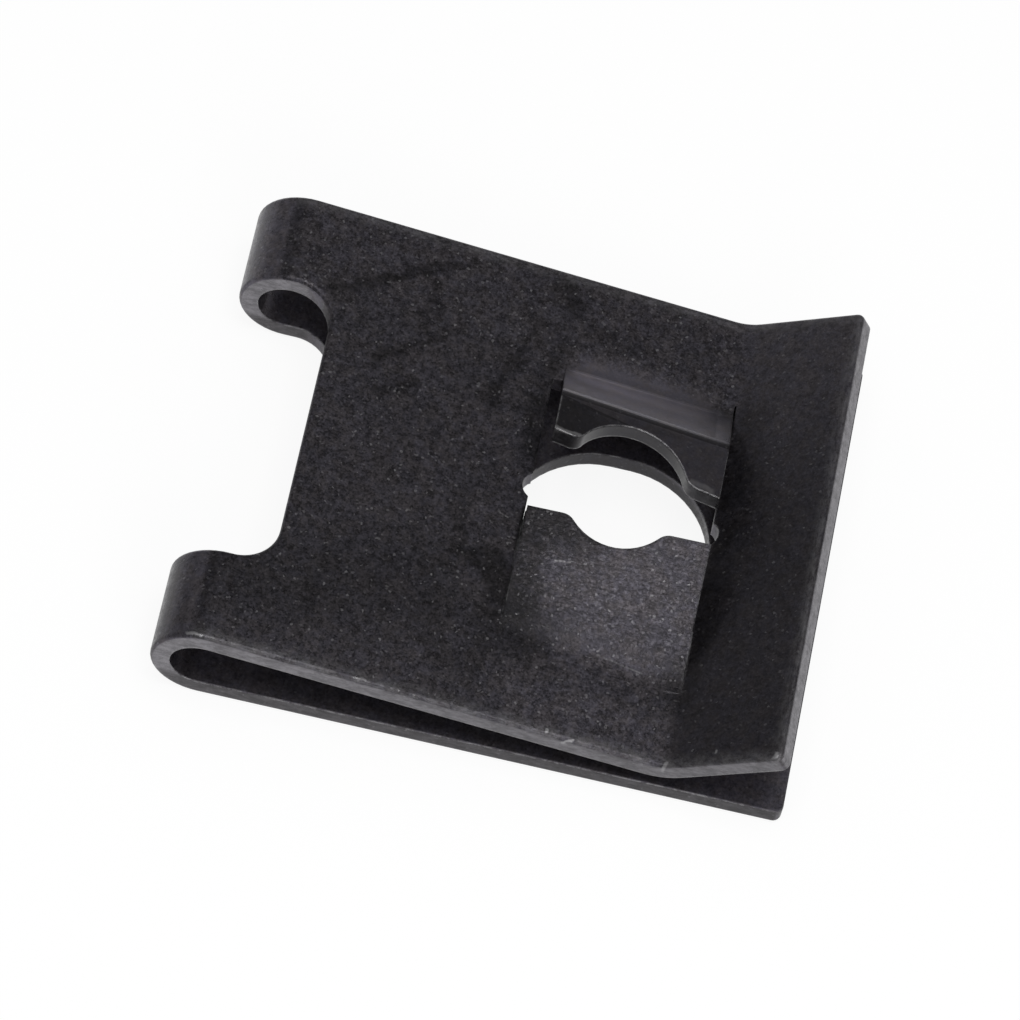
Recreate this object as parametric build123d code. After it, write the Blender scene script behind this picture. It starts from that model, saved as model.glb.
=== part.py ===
from build123d import *
import math
import os

# U clip speed nut: one strip of spring steel, folded back on itself, with two raised prongs
# that grip the thread of a 4.8 mm sheet metal screw.
# Frame: origin on the screw axis at the underside of the lower leaf, +Z up the screw axis,
# +X towards the open mouth, +Y across the strip. Sizes in millimetres and degrees.

# Strip
SHEET = 0.6                  # thickness of the strip
WIDTH = 16.0                 # across the clip
WIDTH_MIDDLE_Y = -0.1        # middle of the strip, seen from the screw axis
CORNER_RADIUS = 0.25         # free corners of both leaves
ROLLED_EDGE_RADIUS = 0.14    # blanked edges, rolled over on the outer skin

# Fold and leaves, seen from the side
FOLD_REACH = 12.58           # screw axis to the outside of the fold
FOLD_INNER_RADIUS = 0.95
CLOSING_ANGLE = 6.0          # the upper leaf falls towards the mouth
LOWER_END = 6.49             # screw axis to the free end of the lower leaf
BEND_X = 2.705               # where the upper leaf turns up into the lip
BEND_INNER_RADIUS = 1.2
LIP_ANGLE = 31.2             # the lip rises above level
LIP_END = 5.96               # screw axis to the upper corner of the lip

# Window through the fold, which leaves two loops
WINDOW_WIDTH = 9.8
WINDOW_UPPER_DEPTH = 2.9     # outside of the fold to the straight edge in the upper leaf
WINDOW_LOWER_DEPTH = 3.15    # the same in the lower leaf
WINDOW_CORNER_RADIUS = 1.25

# Hole for the screw in the lower leaf: a short slot along the clip
SCREW_SLOT_WIDTH = 5.6
SCREW_SLOT_LENGTH = 6.2
SCREW_SLOT_X = -0.18

# Opening in the upper leaf from which the two prongs are raised
OPENING_LEFT = -2.78
OPENING_RIGHT = 2.82
RELIEF_REACH = 3.02          # screw axis to the ends of the cut between the prongs
RELIEF_WIDTH = 0.95
RELIEF_Y = 0.1

# Prongs. "Left" is the fold side and "right" the mouth side.
# Rises are measured from the upper leaf's upper skin.
NOTCH_RADIUS = 1.8           # both notches are round the screw axis
SHOULDER_RADIUS = 0.45       # between a notch and the free edge of its prong

FAR_GAP_LEFT = 0.3           # side clearances in the opening
FAR_GAP_RIGHT = 0.05
FAR_GAP_END_Y = 4.0          # the left clearance stops short of the root
FAR_ROOT_Y = 4.45
FAR_ROOT_RADIUS = 0.7
FAR_CREASE_Y = 2.33
FAR_CREASE_RADIUS = 0.1
FAR_CREASE_RISE_LEFT = 2.07
FAR_CREASE_RISE_RIGHT = 1.62
FAR_TIP_Y_LEFT = 0.74
FAR_TIP_Y_RIGHT = 0.42
FAR_TIP_RISE_LEFT = 2.37
FAR_TIP_RISE_RIGHT = 1.63

NEAR_SLIT_WIDTH = 0.03       # the near prong is sheared free down to the slit ends
NEAR_SLIT_END_LEFT = -1.2
NEAR_SLIT_END_RIGHT = -3.7
NEAR_ROOT_Y = -5.0
NEAR_ROOT_RADIUS = 2.5
NEAR_TIP_Y_LEFT = -1.01
NEAR_TIP_Y_RIGHT = -1.2
NEAR_TIP_RISE_LEFT = 0.6
NEAR_TIP_RISE_RIGHT = 1.6

# Worked out from the sizes above
fold_outer_radius = FOLD_INNER_RADIUS + SHEET
fold_x = fold_outer_radius - FOLD_REACH
closing = math.radians(CLOSING_ANGLE)
leaf_start_x = fold_x + fold_outer_radius * math.sin(closing)
leaf_start_z = fold_outer_radius + fold_outer_radius * math.cos(closing)
leaf_height = SHEET / math.cos(closing)


def leaf_top(x):
    """Height of the upper leaf's upper skin."""
    return leaf_start_z - (x - leaf_start_x) * math.tan(closing)


lip_rise = closing + math.radians(LIP_ANGLE)
bend_start_x = BEND_X - BEND_INNER_RADIUS * math.tan(lip_rise / 2) * math.cos(closing)


def bend_rise(x):
    """How far the bent skin stands above the plane of the upper leaf, at an x within the bend."""
    along = max(x - bend_start_x, 0) / math.cos(closing)
    turned = math.asin(min(along / BEND_INNER_RADIUS, math.sin(lip_rise)))
    return BEND_INNER_RADIUS * (1 - math.cos(turned)) / math.cos(closing)


lip_z = leaf_top(BEND_X) + (LIP_END - BEND_X) * math.tan(math.radians(LIP_ANGLE))
between_leaves = (SHEET + leaf_top(BEND_X) - leaf_height) / 2
clear_above = lip_z + leaf_start_z


def skin_curves():
    """Side view of the outer skin, from the end of the lower leaf round to the end of the lip."""
    under = Line((LOWER_END, 0), (fold_x, 0))
    fold = CenterArc((fold_x, fold_outer_radius), fold_outer_radius, -90, -180 - CLOSING_ANGLE)
    over = FilletPolyline(
        (leaf_start_x, leaf_start_z),
        (BEND_X, leaf_top(BEND_X)),
        (LIP_END, lip_z),
        radius=BEND_INNER_RADIUS,
    )
    return [under, fold, *over.edges()]


def folded_strip():
    """The strip before any piercing: its side view carried across the width."""
    section = make_face(offset(Wire(skin_curves()), SHEET, side=Side.RIGHT))
    strip = extrude(Plane.XZ * section, WIDTH / 2, both=True)
    return Pos(Y=WIDTH_MIDDLE_Y) * strip


def round_free_corners(strip):
    """Round the four corners of the two free ends."""
    mouth_edges = strip.edges().filter_by(GeomType.LINE).filter_by_position(Axis.X, LIP_END - SHEET, LOWER_END)
    corners = [edge for edge in mouth_edges if abs(edge.length - SHEET) < SHEET / 100]
    return fillet(corners, CORNER_RADIUS)


def fold_window(depth):
    """Outline of the window that divides the fold into two loops."""
    outside = fold_outer_radius
    plan = Rectangle(outside + depth, WINDOW_WIDTH, align=(Align.MIN, Align.CENTER))
    plan = Pos(-FOLD_REACH - outside, WIDTH_MIDDLE_Y) * plan
    return fillet(plan.vertices().group_by(Axis.X)[-1], WINDOW_CORNER_RADIUS)


def open_fold(strip):
    """Cut the window through the fold and both leaves."""
    in_lower_leaf = extrude(fold_window(WINDOW_LOWER_DEPTH), between_leaves)
    in_upper_leaf = extrude(fold_window(WINDOW_UPPER_DEPTH), clear_above)
    return strip - in_lower_leaf - in_upper_leaf


def roll_outer_edges(strip):
    """Round every blanked edge that lies on the outer skin."""
    skin = Wire(skin_curves())
    joints = [curve @ 0 for curve in skin_curves()[1:]]

    def on_skin(edge):
        points = [edge @ share for share in (0.0, 0.3, 0.7, 1.0)]
        return all(skin.distance_to(Vertex(point.X, point.Z, 0)) < 1e-4 for point in points)

    def is_joint(edge):
        middle = edge @ 0.5
        return any((Vector(middle.X, middle.Z) - joint).length < 1e-4 for joint in joints)

    edges = [edge for edge in strip.edges() if on_skin(edge) and not is_joint(edge)]
    return fillet(edges, ROLLED_EDGE_RADIUS)


def screw_slot():
    """Cutter for the hole in the lower leaf."""
    return extrude(Pos(X=SCREW_SLOT_X) * SlotOverall(SCREW_SLOT_LENGTH, SCREW_SLOT_WIDTH), between_leaves)


def turn_length(radius, root_y, first_points):
    """Length of upper leaf that the turn at a root takes up, on the steeper side of the prong."""
    steepest = max(math.atan2(rise, abs(root_y - y)) for y, rise in first_points)
    return radius * math.tan(steepest / 2) + SHEET / 10


far_crease = [(FAR_CREASE_Y, FAR_CREASE_RISE_LEFT), (FAR_CREASE_Y, FAR_CREASE_RISE_RIGHT)]
far_sides = (OPENING_LEFT + FAR_GAP_LEFT, OPENING_RIGHT - FAR_GAP_RIGHT)
far_start_y = FAR_ROOT_Y + turn_length(FAR_ROOT_RADIUS, FAR_ROOT_Y, far_crease)
near_tip = [(NEAR_TIP_Y_LEFT, NEAR_TIP_RISE_LEFT), (NEAR_TIP_Y_RIGHT, NEAR_TIP_RISE_RIGHT)]
near_sides = (OPENING_LEFT, OPENING_RIGHT)
near_start_y = NEAR_ROOT_Y - turn_length(NEAR_ROOT_RADIUS, NEAR_ROOT_Y, near_tip)


def prong_opening():
    """Cutter for the opening in the upper leaf, with the relief notches at its cross cut."""
    corner = (OPENING_LEFT, near_start_y)
    size = (OPENING_RIGHT - OPENING_LEFT, far_start_y - near_start_y)
    plan = Pos(*corner) * Rectangle(*size, align=Align.MIN)
    uncut = Pos(OPENING_LEFT, FAR_GAP_END_Y) * Rectangle(FAR_GAP_LEFT, WIDTH, align=Align.MIN)
    plan = plan - uncut + Pos(Y=RELIEF_Y) * SlotOverall(2 * RELIEF_REACH, RELIEF_WIDTH)
    return Pos(Z=between_leaves) * extrude(plan, clear_above)


def prong_section(x, start_y, root_y, raised, radii, side):
    """Cut through a prong across the clip: raised holds (y, rise) of its upper skin beyond the root."""
    skin = [(start_y, bend_rise(x)), (root_y, bend_rise(x)), *raised]
    path = FilletPolyline([(y, leaf_top(x) + rise) for y, rise in skin], radius=radii)
    face = make_face(offset(Wire(path.edges()), leaf_height, side=side))
    return Plane(origin=(x, 0, 0), x_dir=(0, 1, 0), z_dir=(1, 0, 0)) * face


def prong_sections(sides, start_y, root_y, raised_left, raised_right, radii, side):
    """Cuts at the two sides of a prong and where the bend into the lip starts; straight lines join them."""
    bend_start = [bend_start_x] if sides[0] < bend_start_x < sides[1] else []
    sections = []
    for x in (sides[0], *bend_start, sides[1]):
        share = (x - sides[0]) / (sides[1] - sides[0])
        raised = []
        for left, right in zip(raised_left, raised_right):
            point = Vector(*left) * (1 - share) + Vector(*right) * share
            raised.append((point.X, point.Y))
        sections.append(prong_section(x, start_y, root_y, raised, radii, side))
    return sections


def far_prong():
    """Steep prong: it rises from its root, turns over a crease and levels out."""
    radii = (FAR_ROOT_RADIUS, FAR_CREASE_RADIUS + SHEET)
    left = [(FAR_CREASE_Y, FAR_CREASE_RISE_LEFT), (FAR_TIP_Y_LEFT, FAR_TIP_RISE_LEFT)]
    right = [(FAR_CREASE_Y, FAR_CREASE_RISE_RIGHT), (FAR_TIP_Y_RIGHT, FAR_TIP_RISE_RIGHT)]
    sections = prong_sections(far_sides, far_start_y, FAR_ROOT_Y, left, right, radii, Side.LEFT)
    return notched(loft(sections, ruled=True))


def near_slits():
    """Cutter for the slits beside the near prong; between them and the root it stays joined to the leaf."""
    left = Pos(OPENING_LEFT, NEAR_SLIT_END_LEFT) * Rectangle(NEAR_SLIT_WIDTH, -NEAR_SLIT_END_LEFT, align=Align.MIN)
    right = Pos(OPENING_RIGHT - NEAR_SLIT_WIDTH, NEAR_SLIT_END_RIGHT)
    right *= Rectangle(NEAR_SLIT_WIDTH, -NEAR_SLIT_END_RIGHT, align=Align.MIN)
    return extrude(left, 2 * clear_above) + extrude(right, 2 * clear_above)


def near_prong():
    """Gentle prong: one long ramp from its root to its free edge."""
    left, right = ([tip] for tip in near_tip)
    sections = prong_sections(near_sides, near_start_y, NEAR_ROOT_Y, left, right, NEAR_ROOT_RADIUS, Side.RIGHT)
    return notched(loft(sections, ruled=True) - near_slits())


def notched(prong):
    """Cut the thread notch into a prong's free edge and round its two shoulders."""
    prong = prong - Cylinder(NOTCH_RADIUS, 2 * clear_above)

    def is_shoulder(edge):
        ends = [edge @ 0, edge @ 1]
        reaches = [math.hypot(point.X, point.Y) for point in ends]
        on_notch = all(abs(reach - NOTCH_RADIUS) < 1e-3 for reach in reaches)
        return on_notch and edge.length < 2 * SHEET and abs((edge % 0.5).Z) > 0.5

    return fillet(prong.edges().filter_by(is_shoulder), SHOULDER_RADIUS)


def speed_nut_clip():
    """The whole clip as one solid."""
    strip = round_free_corners(folded_strip())
    strip = roll_outer_edges(open_fold(strip))
    pierced = strip - screw_slot() - prong_opening()
    return pierced + far_prong() + near_prong()


def main():
    os.makedirs("parts", exist_ok=True)
    export_step(speed_nut_clip(), "parts/speed_nut_clip.step")


main()
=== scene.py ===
import math

import bpy
from mathutils import Matrix, Vector


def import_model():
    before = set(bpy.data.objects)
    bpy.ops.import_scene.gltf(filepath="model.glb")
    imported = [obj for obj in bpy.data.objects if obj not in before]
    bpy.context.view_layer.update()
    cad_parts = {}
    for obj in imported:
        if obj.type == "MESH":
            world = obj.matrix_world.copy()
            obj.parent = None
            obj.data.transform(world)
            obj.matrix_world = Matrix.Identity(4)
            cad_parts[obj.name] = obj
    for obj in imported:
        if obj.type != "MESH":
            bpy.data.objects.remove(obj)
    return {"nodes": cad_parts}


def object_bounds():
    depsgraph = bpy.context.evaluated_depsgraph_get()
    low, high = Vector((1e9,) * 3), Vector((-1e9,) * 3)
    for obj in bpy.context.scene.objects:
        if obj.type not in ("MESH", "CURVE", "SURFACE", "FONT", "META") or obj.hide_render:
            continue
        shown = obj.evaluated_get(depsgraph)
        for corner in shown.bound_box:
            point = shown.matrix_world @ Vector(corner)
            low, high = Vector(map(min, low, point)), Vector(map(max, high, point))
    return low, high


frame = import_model()
CAD_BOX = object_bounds()
NODE = "speed_nut_clip"
clip = frame["nodes"][NODE]
MM = 0.001

# Places on the clip in millimetres, from the screw axis on the lower leaf's lower skin
FOLD_X = -12.58              # outside of the fold
LEAF_FALL = math.tan(math.radians(6.0))
LEAF_HEIGHT = 1.9493         # outer skin of the upper leaf on the screw axis
LEFT_SIDE_X = -2.78          # sides of the opening in the upper leaf
RIGHT_SIDE_X = 2.82
BEND_X = 2.75                # where the lip starts
LIP_END_X = 5.96
CREASE_Y = 2.33              # crease across the far prong
MIDDLE_Y = -0.1
HALF_WIDTH = 8.0
LOWER_LEAF_TOP = 0.6

# Coat and steel
COAT_RED = (0.0462, 0.0417, 0.0465)
COAT_BLUE = (0.0438, 0.0410, 0.0500)
# the lower leaf's sheared edge, darker than the upper one as painted shade under the upper leaf
SHEARED_LOWER_SHADED = (0.060, 0.056, 0.061)
SHEARED_UPPER = (0.150, 0.144, 0.156)
BARE_STEEL = (0.34, 0.335, 0.345)
METALLIC = 0.75
ROUGHNESS = 0.42
ROUGHNESS_LIMITS = (0.22, 0.70)
RIM_RADIUS = 0.10            # how far wear reaches from an edge, in millimetres
BUMP_HEIGHT = 0.02           # height of the grain's bumps, in millimetres
BUMP_STRENGTH = 0.5
LARGEST_POLISH_AND_SHEEN = 1.5
DARKEST_GRAIN = 0.50
ROLLED_WEAR = 0.26           # how much steel shows on the rolled edges

# The floor, seen as near white and lighting the clip as a pale matt board
FLOOR_GAP = 0.02             # keeps the floor's face off the clip's lower skin, in millimetres
FLOOR_REACH = 1.2            # half the floor's side, in metres
FLOOR_GREY = 0.8             # what the clip is lit by
FLOOR_GLOW = 0.9             # what the camera sees without any light
FLOOR_SHADE = 0.14           # how much the light and the clip's shadow add to that

# The camera, fitted to the product shot: angles in degrees, lengths in millimetres
CAMERA_AZIMUTH = -1.5198
CAMERA_ELEVATION = 57.5
CAMERA_ROLL = 14.0384
CAMERA_AIM = (FOLD_X, MIDDLE_Y, 0.0)
CAMERA_TO_RIGHT = 9.2746     # from the aim, along the picture's own sides
CAMERA_TO_TOP = -1.5874
CAMERA_DISTANCE = 192.6885
SENSOR_WIDTH = 36.0
FOCAL_LENGTH = 6424.2        # in the picture's pixels
PICTURE_WIDTH = 1020.0

# Marks on the coat, each a soft stroke seen from above: ends (x, y, x, y), half width, strength.
# Dark smudges on the upper leaf, and painted shade beside the sides of the opening
SMUDGES_AND_SHADE = (
    (-9.81, 4.92, -8.37, 5.68, 0.27, 0.90),
    (-8.37, 5.68, -7.07, 6.58, 0.21, 1.00),
    (-7.07, 6.58, -5.35, 7.44, 0.18, 0.60),
    (-6.69, 6.07, -6.99, 4.85, 0.18, 0.60),
    (-6.99, 4.85, -6.49, 4.21, 0.18, 0.50),
    (-8.09, 2.84, -7.69, 3.31, 0.18, 0.80),
    (-7.69, 3.31, -6.73, 3.98, 0.15, 0.70),
    (-7.82, 1.80, -6.77, 2.45, 0.21, 0.80),
    (-2.98, 7.28, -2.47, 6.56, 0.42, 0.90),
    (-3.49, 5.76, -3.96, 4.55, 0.18, 0.80),
    (-3.96, 4.55, -4.55, 2.51, 0.27, 0.80),
    (-4.33, -2.87, -3.42, -2.82, 0.36, 0.80),
    # painted shade left of the near ramp
    (-3.39, -2.99, -2.45, -4.13, 0.60, 1.00),
    (-2.94, -4.08, -3.18, -5.74, 0.48, 0.70),
    (-4.56, -1.99, -4.24, -2.74, 0.15, 0.80),
    # painted shade left of the far prong
    (-3.12, 2.88, -2.95, 1.26, 0.40, 0.90),
    (-2.80, 5.21, -2.95, 3.18, 0.30, 0.60),
    (-4.57, -0.34, -4.75, -1.83, 0.30, 0.40),
    (-2.00, 6.05, -0.39, 5.85, 0.36, 0.40),
    (-4.70, -6.06, -3.37, -6.68, 0.42, 0.40),
    (-8.07, -4.36, -8.58, -6.29, 0.42, 0.30),
    # painted shade right of the far prong and right of the near ramp
    (3.20, 4.40, 3.25, 1.60, 0.50, 0.50),
    (3.15, 0.00, 3.10, -3.90, 0.50, 0.60),
)
# Painted shade on the near ramp: its left side, its free edge and its root
RAMP_SHADE = (
    (-2.95, -0.90, -2.85, -4.00, 0.80, 0.80),
    (-2.50, -1.40, -0.90, -1.45, 0.65, 1.10),
    (-2.80, -3.80, -2.10, -4.90, 0.85, 0.90),
    (2.75, -4.80, 2.60, -5.70, 0.45, 0.70),
)
# Where the far prong's root and steep side are burnished and carry a painted sheen
BURNISH_AND_SHEEN = (
    (-1.60, 4.48, 1.50, 4.36, 0.70, 1.60),
    (-2.20, 3.30, 2.00, 3.10, 1.10, 1.00),
)
# Broad areas of painted light and painted shade
PAINTED_LIGHT_AREAS = (
    (-1.60, -7.10, 2.00, -7.40, 0.85, 1.10),
    (-0.60, -5.40, 1.70, -5.40, 0.55, 0.90),
    (-10.00, 6.80, 1.00, 6.80, 2.20, 0.25),
)
PAINTED_SHADE_AREAS = (
    (-10.00, -5.60, -5.50, -4.40, 1.50, 1.00),
    (-11.80, -7.80, -11.80, -4.90, 0.45, 0.80),
    (-11.65, 4.90, -11.65, 7.80, 0.40, 0.80),
    (-0.50, 6.60, 2.20, 6.30, 0.70, 0.20),
)
# Dark line of the slit beside the near prong
SLIT_SHADE = ((-2.80, -0.75, -2.78, -2.20, 0.075, 1.00),)
# Fine bright scratches
SCRATCHES = (
    (-8.95, 6.90, -8.45, 5.10, 0.030, 0.12),
    (-3.60, -1.10, -2.90, -1.35, 0.035, 0.50),
    (0.20, -5.00, 1.60, -5.20, 0.040, 0.30),
    (-1.60, -2.55, -0.70, -2.45, 0.045, 0.60),
)
# Bright nicks and worn spots on the edges; the last two, on the far prong's free edge, are wear with a
# painted highlight
NICKS_AND_HIGHLIGHTS = (
    (-0.80, -7.98, -0.80, -7.90, 0.07, 0.90),
    (-0.28, -8.12, 0.02, -8.05, 0.05, 0.80),
    (2.74, -8.12, 2.78, -7.98, 0.06, 0.60),
    (5.74, -7.98, 5.77, -7.85, 0.07, 1.00),
    (4.10, -7.70, 4.12, -7.60, 0.05, 0.60),
    (-11.60, -7.95, -11.20, -7.98, 0.07, 0.80),
    (-6.60, -8.00, -6.30, -8.02, 0.05, 0.50),
    (-2.45, 0.80, -1.75, 0.80, 0.08, 0.50),
    (1.85, 0.66, 2.45, 0.58, 0.13, 0.26),
)


# ---------------------------------------------------------------- node helpers
class Field:
    """A number that varies over the surface. Arithmetic on it adds the node that works it out."""

    def __init__(self, graph, socket):
        self.graph = graph
        self.socket = socket

    def __add__(self, other):
        return self.graph.math("ADD", self, other)

    def __sub__(self, other):
        return self.graph.math("SUBTRACT", self, other)

    def __rsub__(self, other):
        return self.graph.math("SUBTRACT", other, self)

    def __mul__(self, other):
        return self.graph.math("MULTIPLY", self, other)

    def __pow__(self, other):
        return self.graph.math("POWER", self, other)

    def __abs__(self):
        return self.graph.math("ABSOLUTE", self)

    def at_least(self, other):
        return self.graph.math("MAXIMUM", self, other)

    def at_most(self, other):
        return self.graph.math("MINIMUM", self, other)

    def changed(self, mask, change):
        """This value, changed by the given share where the mask is 1."""
        return self * self.graph.math("MULTIPLY_ADD", mask, change, 1.0)

    def step(self, low, high, to_low=0.0, to_high=1.0):
        """Smooth step from low..high to to_low..to_high."""
        made = self.graph.node(
            "ShaderNodeMapRange",
            {"Value": self, "From Min": low, "From Max": high, "To Min": to_low, "To Max": to_high},
            interpolation_type="SMOOTHSTEP",
        )
        return Field(self.graph, made.outputs["Result"])


class Graph:
    """Short calls for building the nodes of one material or world."""

    def __init__(self, owner):
        owner.use_nodes = True
        self.tree = owner.node_tree
        self.tree.nodes.clear()

    def plug(self, socket, value):
        """Link a field or a socket to the given socket, or write a constant on it."""
        if isinstance(value, Field):
            value = value.socket
        if isinstance(value, bpy.types.NodeSocket):
            self.tree.links.new(value, socket)
        elif value is not None:
            socket.default_value = value

    def node(self, kind, inputs=None, **settings):
        made = self.tree.nodes.new(kind)
        for key, value in settings.items():
            setattr(made, key, value)
        for key, value in (inputs or {}).items():
            self.plug(made.inputs[key], value)
        return made

    def math(self, operation, *values):
        made = self.node("ShaderNodeMath", dict(enumerate(values)), operation=operation)
        return Field(self, made.outputs[0])

    def vector(self, operation, a, b=None, **inputs):
        made = self.node("ShaderNodeVectorMath", {0: a, 1: b, **inputs}, operation=operation)
        return made.outputs["Vector"]

    def between(self, operation, a, b):
        """A number worked out from two vectors: their dot product or their distance."""
        made = self.node("ShaderNodeVectorMath", {0: a, 1: b}, operation=operation)
        return Field(self, made.outputs["Value"])

    def split(self, vector):
        made = self.node("ShaderNodeSeparateXYZ", {"Vector": vector})
        return tuple(Field(self, output) for output in made.outputs)

    def noise(self, where, scale, detail, roughness, distortion=0.0):
        form = {"Scale": scale, "Detail": detail, "Roughness": roughness, "Distortion": distortion}
        made = self.node("ShaderNodeTexNoise", {"Vector": where, **form})
        return Field(self, made.outputs["Fac"])

    def mix(self, share, a, b):
        """Colour between a and b, each a socket or the three numbers of a constant colour."""
        made = self.node("ShaderNodeMix", {0: share}, data_type="RGBA")
        for index, colour in ((6, a), (7, b)):
            constant = not isinstance(colour, bpy.types.NodeSocket)
            self.plug(made.inputs[index], (*colour, 1.0) if constant else colour)
        return made.outputs[2]

    def surface(self, shader, output="ShaderNodeOutputMaterial"):
        self.node(output, {"Surface": shader.outputs[0]})

    def stroke(self, plan, ends, half_width, strength, softness):
        """One soft stroke: full strength near its middle line, nothing past softness half widths."""
        ax, ay, bx, by = ends
        run = Vector((bx - ax, by - ay, 0.0))
        from_start = self.vector("SUBTRACT", plan, (ax, ay, 0.0))
        share = self.between("DOT_PRODUCT", from_start, tuple(run / run.length_squared))
        nearest = self.vector("SCALE", tuple(run), Scale=share.at_least(0.0).at_most(1.0))
        gap = self.between("DISTANCE", from_start, nearest)
        return gap.step(half_width * softness, half_width * 0.2, 0.0, strength)

    def strokes(self, plan, lines, softness):
        """Sum of the strokes."""
        total = None
        for *ends, half_width, strength in lines:
            mark = self.stroke(plan, ends, half_width, strength, softness)
            total = mark if total is None else total + mark
        return total


# ---------------------------------------------------------------- the clip's coat
class Place:
    """Where a shaded point lies on the clip, with a 0 to 1 mask for each zone of the clip."""

    def __init__(self, g):
        self.graph = g
        metres = g.node("ShaderNodeTexCoord").outputs["Object"]
        self.where = g.vector("SCALE", metres, Scale=1.0 / MM)
        self.plan = g.vector("MULTIPLY", self.where, (1.0, 1.0, 0.0))
        self.x, self.y, self.z = g.split(self.where)
        self.true_normal = g.node("ShaderNodeNewGeometry").outputs["True Normal"]
        self.nx, self.ny, self.nz = g.split(self.true_normal)
        noise = g.node("ShaderNodeTexNoise", {"Vector": self.where, "Scale": 2.4, "Detail": 3.0})
        centred = g.vector("SUBTRACT", noise.outputs["Color"], (0.5, 0.5, 0.5))
        self.wander = g.vector("SCALE", centred, Scale=0.9)

        # height over the plane of the upper leaf's outer skin
        self.lift = self.x * LEAF_FALL + self.z - LEAF_HEIGHT
        self.outer = self.lift.step(-0.20, -0.08) * self.nz.step(0.2, 0.4)
        self.inner = (1.0 - self.outer) * self.nx.step(-0.9, -0.6)
        self.loops = self.x.step(FOLD_X + 1.88, FOLD_X + 1.08)

        # the opening, the near and the far prong, and the lip beside them
        right_of_left = self.x.step(LEFT_SIDE_X - 0.17, LEFT_SIDE_X + 0.13)
        left_of_right = self.x.step(RIGHT_SIDE_X + 0.18, RIGHT_SIDE_X - 0.07)
        self.in_opening = right_of_left * left_of_right
        self.raised = self.in_opening * self.lift.step(0.03, 0.30)
        self.near = self.raised * self.y.step(0.0, -0.6)
        self.far = self.raised * self.y.step(-0.2, 0.2)
        self.lip = self.outer * self.x.step(BEND_X - 0.2, BEND_X + 0.2) * (1.0 - self.raised)

        # blanked edges and the two free ends
        self.end = self.nx.step(0.5, 0.7) * self.x.step(4.8, 5.2)
        self.blanked = abs(self.ny).step(0.90, 0.97).at_least(self.end)

    def shifted(self, share):
        """The place seen from above, shifted by a share of the wander, so that strokes lose their outline."""
        shift = self.graph.vector("MULTIPLY", self.wander, (share, share, 0.0))
        return self.graph.vector("ADD", self.plan, shift)


class Grain:
    """Fine crystals of the coat, and how strongly they show at each place."""

    def __init__(self, g, place, polish_and_sheen):
        self.waves = g.noise(place.where, 4.0, 3.0, 1.0) - 0.5
        crystal = g.node("ShaderNodeTexVoronoi", {"Vector": place.where, "Scale": 15.0})
        self.pick, _, self.glint = g.split(crystal.outputs["Color"])
        self.speckle = self.glint - 0.5
        smooth = (place.lip * 0.45).at_least(place.far * 0.75).at_least(place.inner * 0.5)
        smooth = smooth.at_least(polish_and_sheen * 0.55).at_least(place.loops * 0.25)
        self.amount = 1.0 - smooth + place.near * 0.25


def burnish_and_sheen_mask(g, place):
    """Mask of the far prong's burnished root and steep side, which also places their painted sheen."""
    around_root = place.outer * place.y.step(1.9, 2.4)
    around_root = around_root * place.x.step(LEFT_SIDE_X + 0.03, LEFT_SIDE_X + 0.28)
    return g.strokes(place.plan, BURNISH_AND_SHEEN, 1.6).at_most(LARGEST_POLISH_AND_SHEEN) * around_root


def coat_changes(g, place, polish_and_sheen):
    """Masks of the darker and lighter zones of the coat, each with its change of tone; besides the smudges,
    they are painted shade and painted light.
    """
    x, y, lift, outer = place.x, place.y, place.lift, place.outer
    blurred = place.shifted(1.0)
    smudges_and_shade = g.strokes(blurred, SMUDGES_AND_SHADE, 1.5).at_most(1.0) * outer * (1.0 - place.raised)
    on_ramp = outer * x.step(LEFT_SIDE_X - 0.10, LEFT_SIDE_X + 0.06)
    # painted shade on the near ramp
    shaded_ramp = g.strokes(blurred, RAMP_SHADE, 1.8).at_most(1.0) * on_ramp
    # painted light on the fold's outer side, brighter towards the far loop, and painted shade on the near
    # loop
    fold_side_light = place.loops * place.nx.step(-0.78, -0.97) * y.step(-6.0, 5.0, 0.15, 1.0)
    near_loop_shade = place.loops * y.step(-4.0, -6.0) * place.nx.step(-0.25, -0.60)
    # painted shade on the walls of the lower leaf's hole
    hole_wall_shade = place.in_opening * lift.step(-1.2, -1.4) * place.nz.step(0.3, 0.1)
    # painted sheen on the far prong's burnished root and steep side
    burnished_sheen = polish_and_sheen * x.step(3.2, -1.5, 0.45, 1.0)
    steep_sheen = burnished_sheen * place.ny.step(0.35, 0.56)
    # painted shade along the far prong's crest
    crest_shade = place.far * place.ny.step(0.54, 0.35) * place.ny.step(0.06, 0.16)
    return (
        (smudges_and_shade, -0.58),
        # painted shade on the lip, with painted light towards its far end
        (place.lip, -0.12),
        (place.lip * y.step(0.0, 7.0), 0.60),
        (shaded_ramp, -0.58),
        # broad painted light and painted shade
        (g.strokes(blurred, PAINTED_LIGHT_AREAS, 1.8) * outer, 0.40),
        (g.strokes(blurred, PAINTED_SHADE_AREAS, 1.8) * outer, -0.36),
        # painted light on the fold's outer side and painted shade on the near loop
        (fold_side_light, 0.50),
        (near_loop_shade, -0.28),
        # painted sheen: the far prong lighter, most of all on its root and steep side
        (place.far, 0.20),
        (burnished_sheen, 1.00),
        (steep_sheen, 1.15),
        # painted shade on the far prong's free edge face, on the hole's walls and along the crest
        (place.far * place.nz.step(0.45, 0.25), -0.80),
        (hole_wall_shade, -0.70),
        (crest_shade, -0.60),
        # painted light on the inner surfaces
        (place.inner, 1.10),
        (g.strokes(place.plan, SLIT_SHADE, 1.6) * outer, -0.85),
    )


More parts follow.
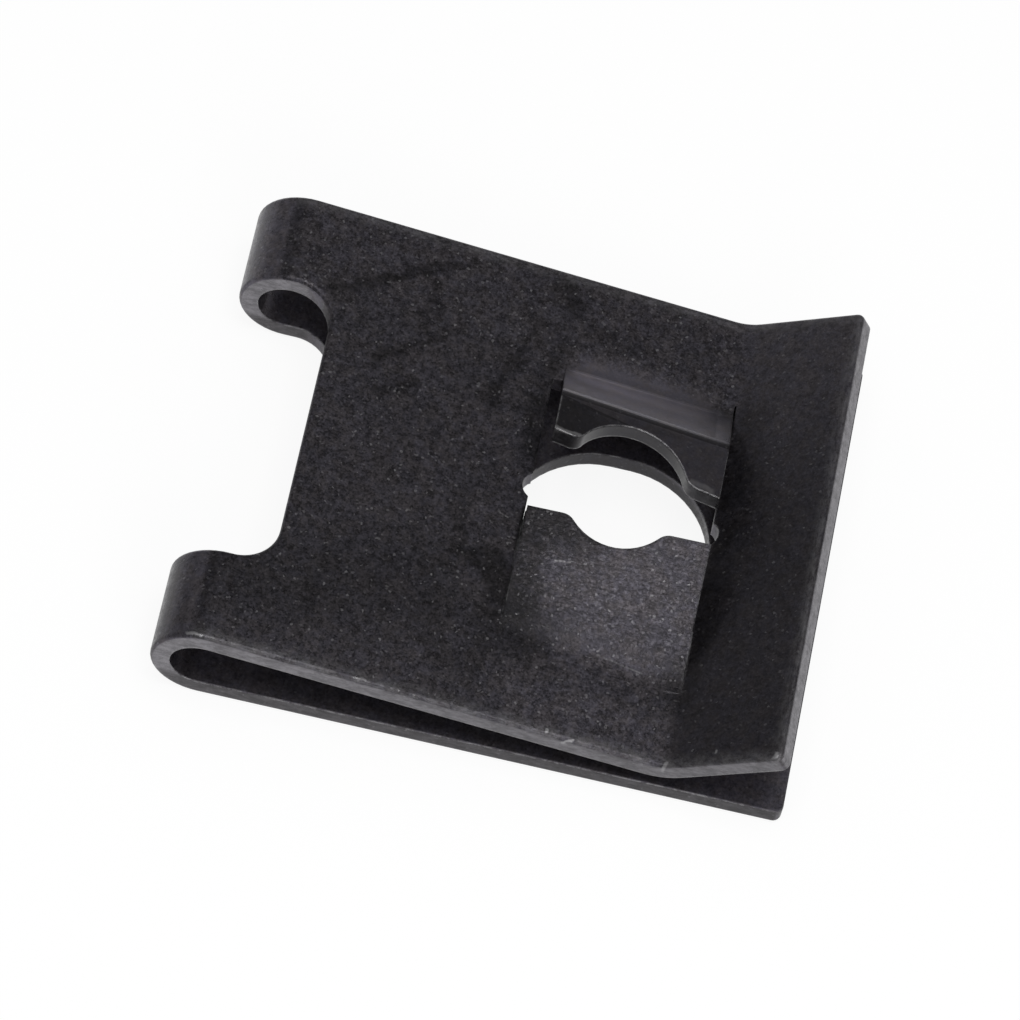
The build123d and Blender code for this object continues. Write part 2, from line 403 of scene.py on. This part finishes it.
def coat_colour(g, place, grain, polish_and_sheen):
    """Colour of the whole coat: grain, clouds and a drift from red to blue, with the zones' changes of
    smudges, painted shade and painted light.
    """
    stretched = g.vector("MULTIPLY", place.where, (3.0, 9.0, 9.0))
    brushed = (g.noise(stretched, 1.0, 3.0, 1.0) - 0.5) * (place.near * 3.6)
    ripple = grain.waves * 3.5 + grain.speckle * 0.75 + brushed
    cloud = g.noise(place.where, 0.55, 3.0, 0.6, 0.4).step(0.25, 0.75, 0.92, 1.08)
    tone = (ripple * grain.amount + 1.0).at_least(DARKEST_GRAIN) * cloud
    for mask, change in coat_changes(g, place, polish_and_sheen):
        tone = tone.changed(mask, change)
    tint = g.mix(g.noise(place.where, 1.6, 3.0, 0.8).step(0.40, 0.60), COAT_RED, COAT_BLUE)
    return g.vector("SCALE", tint, Scale=tone)


def sheared_colour(g, place, streaks):
    """Streaked colour of the blanked edges, lighter towards the fold, and darker on the lower leaf as painted
    shade under the upper leaf.
    """
    colour = g.mix(place.z.step(LOWER_LEAF_TOP, LOWER_LEAF_TOP + 0.4), SHEARED_LOWER_SHADED, SHEARED_UPPER)
    colour = g.vector("SCALE", colour, Scale=streaks.step(0.36, 0.64, 0.70, 1.35))
    along_side = place.x.step(-10.0, 2.0, 1.12, 0.88).changed(place.end, 0.30)
    return g.vector("SCALE", colour, Scale=along_side)


def glint_specks(grain, near):
    """Painted glints: sparkle of single crystals as bright spots, with more and fainter ones on the near
    ramp.
    """
    few = grain.pick.step(0.80, 1.0) * (0.46 - near * 0.24)
    many = grain.pick.step(0.40, 0.80) * 0.07 * near
    return (few + many) * grain.glint**6.0 * grain.amount


def worn_edges(g, place, rounded, streaks, broken):
    """Rubbed rims, rolled edges and nicks, with a painted highlight on the far prong's free edge. Rims are
    where the rounded normal leaves the true one.
    """
    rim = g.between("DOT_PRODUCT", place.true_normal, rounded).step(0.995, 0.82)
    free_edge = place.far * place.y.step(CREASE_Y - 0.23, CREASE_Y - 0.38) * place.nz.step(0.30, 0.60)
    worn = rim * (broken * 0.75 + 0.10)
    # the far prong's free edge: wear with a painted highlight
    worn = worn.at_least(rim * free_edge * broken.step(0.0, 0.8, 0.35, 1.0))

    # no wear on the crease, at the prongs' roots or on the near ramp's left side
    crease = place.far * abs(place.y - CREASE_Y).step(0.30, 0.18)
    root = place.in_opening * abs(place.lift).step(0.16, 0.10)
    left_side = place.near * place.x.step(LEFT_SIDE_X + 0.33, LEFT_SIDE_X + 0.13)
    worn = worn * (1.0 - crease.at_least(root).at_least(left_side))

    # the rolled edges of the upper leaf, along its two sides and its lip's end
    along_side = abs(place.y - MIDDLE_Y).step(HALF_WIDTH - 0.55, HALF_WIDTH - 0.10)
    along_end = place.x.step(LIP_END_X - 0.41, LIP_END_X - 0.06)
    end_streaks = g.noise(g.vector("MULTIPLY", place.where, (4.0, 1.2, 4.0)), 1.0, 4.0, 0.8)
    rolled = (along_side * streaks.step(0.34, 0.66)).at_least(along_end * end_streaks.step(0.34, 0.66))
    worn = worn.at_least(rolled * place.outer * ROLLED_WEAR)
    nicks_and_highlights = g.strokes(place.shifted(0.35), NICKS_AND_HIGHLIGHTS, 1.3) * place.lift.step(-0.32, -0.12)
    return worn.at_least(nicks_and_highlights)


def blackened_steel():
    """Phosphated spring steel: a fine grain, patches, smudges, scratches and bright worn edges, with painted
    shade, painted sheen, painted highlights and painted glints.
    """
    material = bpy.data.materials.new("blackened_spring_steel")
    g = Graph(material)
    place = Place(g)
    polish_and_sheen = burnish_and_sheen_mask(g, place)
    grain = Grain(g, place, polish_and_sheen)
    rounded = g.node("ShaderNodeBevel", {"Radius": RIM_RADIUS * MM}, samples=6).outputs["Normal"]
    streaks = g.noise(g.vector("MULTIPLY", place.where, (1.8, 4.0, 4.6)), 1.0, 5.0, 0.85)
    broken = g.noise(place.where, 3.0, 3.0, 0.8).step(0.40, 0.60)

    # the prongs' own sheared edges are given nearly the coat's colour: painted shade
    on_prongs = place.in_opening * abs(place.y).step(5.5, 5.0)
    base = coat_colour(g, place, grain, polish_and_sheen)
    base = g.mix(place.blanked.changed(on_prongs, -0.92), base, sheared_colour(g, place, streaks))
    scratches = g.strokes(place.plan, SCRATCHES, 1.2) * place.outer * broken
    # bare steel in scratches and wear, with painted glints and painted highlights
    shown = glint_specks(grain, place.near).at_least(scratches)
    shown = shown.at_least(worn_edges(g, place, rounded, streaks, broken))
    base = g.mix(shown, base, BARE_STEEL)

    rough = grain.waves * grain.amount * 0.9 + ROUGHNESS - place.far.at_least(place.loops) * 0.09
    least, most = ROUGHNESS_LIMITS
    height = (grain.speckle * 0.08 + grain.waves) * grain.amount
    bump = g.node(
        "ShaderNodeBump",
        {"Strength": BUMP_STRENGTH, "Distance": BUMP_HEIGHT * MM, "Height": height, "Normal": rounded},
    )
    shader = g.node(
        "ShaderNodeBsdfPrincipled",
        {
            "Base Color": base,
            "Roughness": rough.at_least(least).at_most(most),
            "Normal": bump.outputs["Normal"],
            "Metallic": METALLIC,
        },
    )
    g.surface(shader)
    return material


# ---------------------------------------------------------------- floor, lights and camera
def grey(level):
    return (level, level, level, 1.0)


def pale_ground():
    """The floor's material: plain white for camera, mirror and clear rays, matt grey for all others."""
    material = bpy.data.materials.new("pale_ground")
    g = Graph(material)
    paths = g.node("ShaderNodeLightPath").outputs
    seen = g.math("MAXIMUM", paths["Is Camera Ray"], paths["Is Transmission Ray"])
    seen = seen.at_least(paths["Is Glossy Ray"])
    matt = g.node("ShaderNodeBsdfDiffuse", {"Color": grey(FLOOR_GREY)})
    glow = g.node("ShaderNodeEmission", {"Color": grey(1.0), "Strength": FLOOR_GLOW})
    shade = g.node("ShaderNodeBsdfDiffuse", {"Color": grey(FLOOR_SHADE)})
    white = g.node("ShaderNodeAddShader", {0: glow.outputs[0], 1: shade.outputs[0]})
    g.surface(g.node("ShaderNodeMixShader", {0: seen, 1: matt.outputs[0], 2: white.outputs[0]}))
    return material


def ground(level):
    """Square floor at the given height in metres."""
    mesh = bpy.data.meshes.new("ground")
    signs = ((-1, -1), (1, -1), (1, 1), (-1, 1))
    corners = [(across * FLOOR_REACH, along * FLOOR_REACH, level) for across, along in signs]
    mesh.from_pydata(corners, [], [(0, 1, 2, 3)])
    mesh.materials.append(pale_ground())
    floor = bpy.data.objects.new("ground", mesh)
    bpy.context.scene.collection.objects.link(floor)


def lamp(name, place, size, watts):
    """Soft square lamp aimed at the screw axis; place and size in millimetres."""
    data = bpy.data.lights.new(name, "AREA")
    data.size = size * MM
    data.energy = watts
    made = bpy.data.objects.new(name, data)
    made.location = Vector(place) * MM
    made.rotation_euler = (-Vector(place)).to_track_quat("-Z", "Y").to_euler()
    bpy.context.scene.collection.objects.link(made)


def world(strength):
    """Even white light from all round, with a plain white background for the camera."""
    made = bpy.data.worlds.new("studio")
    g = Graph(made)
    paths = g.node("ShaderNodeLightPath").outputs
    soft = g.node("ShaderNodeBackground", {"Color": grey(1.0), "Strength": strength})
    white = g.node("ShaderNodeBackground", {"Color": grey(1.0), "Strength": 1.0})
    parts = {0: paths["Is Camera Ray"], 1: soft.outputs[0], 2: white.outputs[0]}
    g.surface(g.node("ShaderNodeMixShader", parts), "ShaderNodeOutputWorld")
    bpy.context.scene.world = made


def camera():
    """Camera at the view angle of the product shot."""
    azimuth = math.radians(CAMERA_AZIMUTH)
    elevation = math.radians(CAMERA_ELEVATION)
    roll = math.radians(CAMERA_ROLL)
    towards = Vector((math.sin(azimuth), -math.cos(azimuth), 0.0))
    back = math.cos(elevation) * towards + Vector((0.0, 0.0, math.sin(elevation)))
    level = Vector((math.cos(azimuth), math.sin(azimuth), 0.0))
    up = back.cross(level)
    right = math.cos(roll) * level + math.sin(roll) * up
    top = -math.sin(roll) * level + math.cos(roll) * up
    offset = CAMERA_TO_RIGHT * right + CAMERA_TO_TOP * top + CAMERA_DISTANCE * back
    data = bpy.data.cameras.new("camera")
    data.sensor_width = SENSOR_WIDTH
    data.lens = SENSOR_WIDTH * FOCAL_LENGTH / PICTURE_WIDTH
    data.clip_start = 0.01
    data.clip_end = 10.0
    made = bpy.data.objects.new("camera", data)
    turn = Matrix((right, top, back)).transposed().to_4x4()
    made.matrix_world = Matrix.Translation((Vector(CAMERA_AIM) + offset) * MM) @ turn
    bpy.context.scene.collection.objects.link(made)
    bpy.context.scene.camera = made


coat = blackened_steel()
clip.data.materials.clear()
clip.data.materials.append(coat)

ground(CAD_BOX[0][2] - FLOOR_GAP * MM)
lamp("overhead", (0, -15, 150), 90, 0.075)
lamp("front", (60, -150, 80), 90, 0.08)
world(0.30)
camera()

bpy.context.scene.view_settings.view_transform = "Standard"
